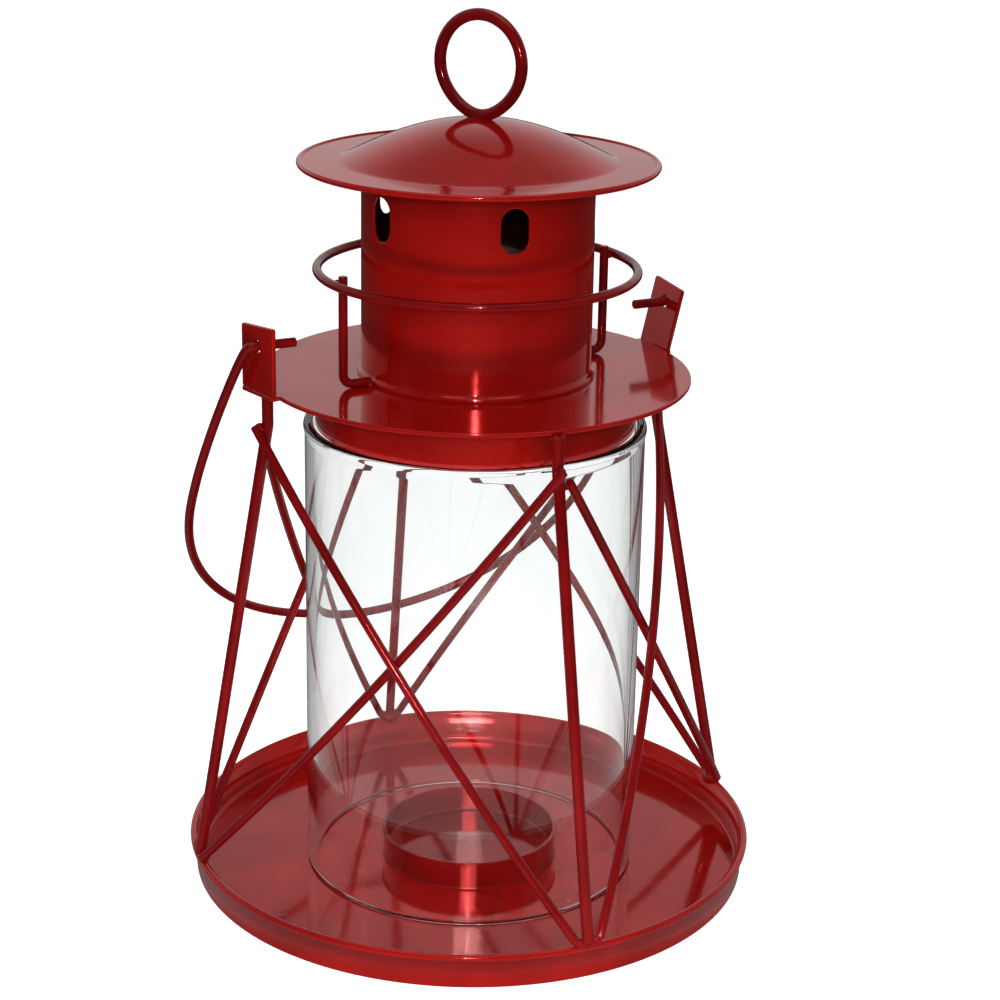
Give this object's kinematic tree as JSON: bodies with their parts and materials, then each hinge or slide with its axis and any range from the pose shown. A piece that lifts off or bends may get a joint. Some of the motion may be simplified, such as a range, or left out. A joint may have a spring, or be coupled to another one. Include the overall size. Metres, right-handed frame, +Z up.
{
  "type": "candle lantern",
  "caption": "Lighthouse-shaped candle lantern: tray, glass sleeve, splayed wire legs with crossed braces, round deck, vented chimney with rail, lift-off cap with ring, swinging wire bail.",
  "frame": {"origin": "centre of the tray's underside, on the surface it stands on", "axes": "+Z up along the lantern's axis; +X towards the right leg, +Y towards the back leg, on the side where the bail hangs at rest"},
  "size_m": [0.1559, 0.1562, 0.2346],
  "materials": {
    "red_enamel_sheet": "high gloss red enamel on sheet steel",
    "red_enamel_wire": "gloss red enamel on steel wire",
    "clear_glass": "clear, smooth"
  },
  "bodies": {
    "frame": {"base_tray": "red_enamel_sheet", "candle_cup": "red_enamel_sheet", "glass_cylinder": "clear_glass", "deck_plate": "red_enamel_sheet", "glass_collar": "red_enamel_sheet", "ear_left": "red_enamel_sheet", "ear_right": "red_enamel_sheet", "chimney_tube": "red_enamel_sheet", "gallery_rail": "red_enamel_wire", "rail_post_right": "red_enamel_wire", "rail_post_left": "red_enamel_wire", "leg_right": "red_enamel_wire", "leg_back": "red_enamel_wire", "leg_left": "red_enamel_wire", "leg_front": "red_enamel_wire", "brace_right_to_back": "red_enamel_wire", "brace_right_to_front": "red_enamel_wire", "brace_back_to_left": "red_enamel_wire", "brace_back_to_right": "red_enamel_wire", "brace_left_to_front": "red_enamel_wire", "brace_left_to_back": "red_enamel_wire", "brace_front_to_right": "red_enamel_wire", "brace_front_to_left": "red_enamel_wire"},
    "bail": {"bail_handle": "red_enamel_wire"},
    "cap": {"cap_shell": "red_enamel_sheet", "cap_skirt": "red_enamel_sheet", "finial_ring": "red_enamel_wire"}
  },
  "joints": [
    {"name": "bail_swing", "type": "hinge", "parent": "frame", "child": "bail", "pos_m": [0, 0.0045, 0.1522], "axis": [0.9969, 0.0785, 0], "range_deg": [0, 288]},
    {"name": "cap_lift", "type": "slide", "parent": "frame", "child": "cap", "axis": [0, 0, 1], "range_m": [0, 0.07]}
  ]
}
